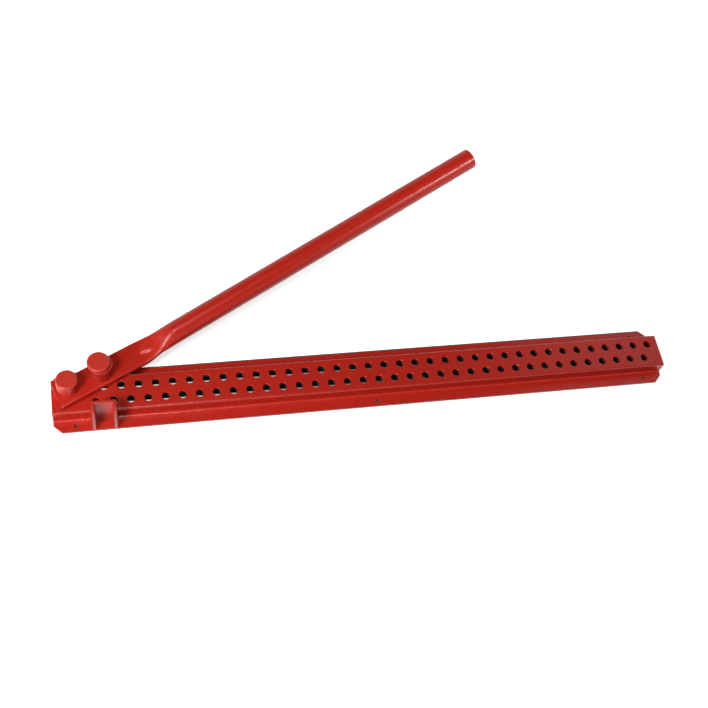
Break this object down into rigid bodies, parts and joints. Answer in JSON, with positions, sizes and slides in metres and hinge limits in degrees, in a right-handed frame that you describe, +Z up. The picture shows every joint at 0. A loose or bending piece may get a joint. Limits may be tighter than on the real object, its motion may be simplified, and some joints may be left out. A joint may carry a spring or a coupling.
{
  "type": "rebar stirrup bender",
  "caption": "Manual bench bender for reinforcing bars: a perforated hat-section rail with a fixed stop and a tubular lever that swings on a pivot pin and carries a roller.",
  "frame": {"origin": "on the bench under the front foot: the middle of the flat strip of the foot's underside, in line with the pivot axis", "axes": "+X along the rail from the pivot end, +Y from the stop side to the far side, +Z up from the bench"},
  "size_m": [0.9692, 0.4036, 0.1267],
  "materials": {
    "rail_paint": "satin red paint on folded sheet steel",
    "stop_paint": "satin red paint on a cut of channel",
    "pin_paint": "satin red paint on turned steel",
    "lever_paint": "satin red paint on steel tube",
    "roller_paint": "satin red paint on a cut of steel tube",
    "weld_paint": "red paint over rippled weld metal",
    "zinc": "bright zinc plating"
  },
  "bodies": {
    "bench_side": {"rail_channel": "rail_paint", "left_end_plate": "rail_paint", "right_end_plate": "rail_paint", "fixed_stop": "stop_paint", "pivot_pin": "pin_paint", "pivot_spacer": "pin_paint", "pivot_doubler": "rail_paint", "pivot_washer": "zinc", "pivot_spring_washer": "zinc", "pivot_nut": "zinc", "stop_wall_weld_left": "weld_paint", "stop_wall_weld_right": "weld_paint", "stop_foot_weld_left": "weld_paint", "stop_foot_weld_right": "weld_paint", "doubler_weld_front": "weld_paint", "doubler_weld_rear": "weld_paint", "end_plate_weld_left": "weld_paint", "end_plate_weld_right": "weld_paint"},
    "lever": {"lever_tube": "lever_paint", "bending_pin": "pin_paint", "bending_pin_plug_weld": "weld_paint"},
    "roller": {"bending_roller": "roller_paint"}
  },
  "joints": [
    {"name": "lever_swing", "type": "hinge", "parent": "bench_side", "child": "lever", "pos_m": [0, 0.04795, 0.0333], "axis": [0, 0, 1], "range_deg": [-35, 256]},
    {"name": "roller_spin", "type": "hinge", "parent": "lever", "child": "roller", "pos_m": [0.04801, 0.06931, 0.05], "axis": [0, 0, 1], "continuous": true}
  ]
}
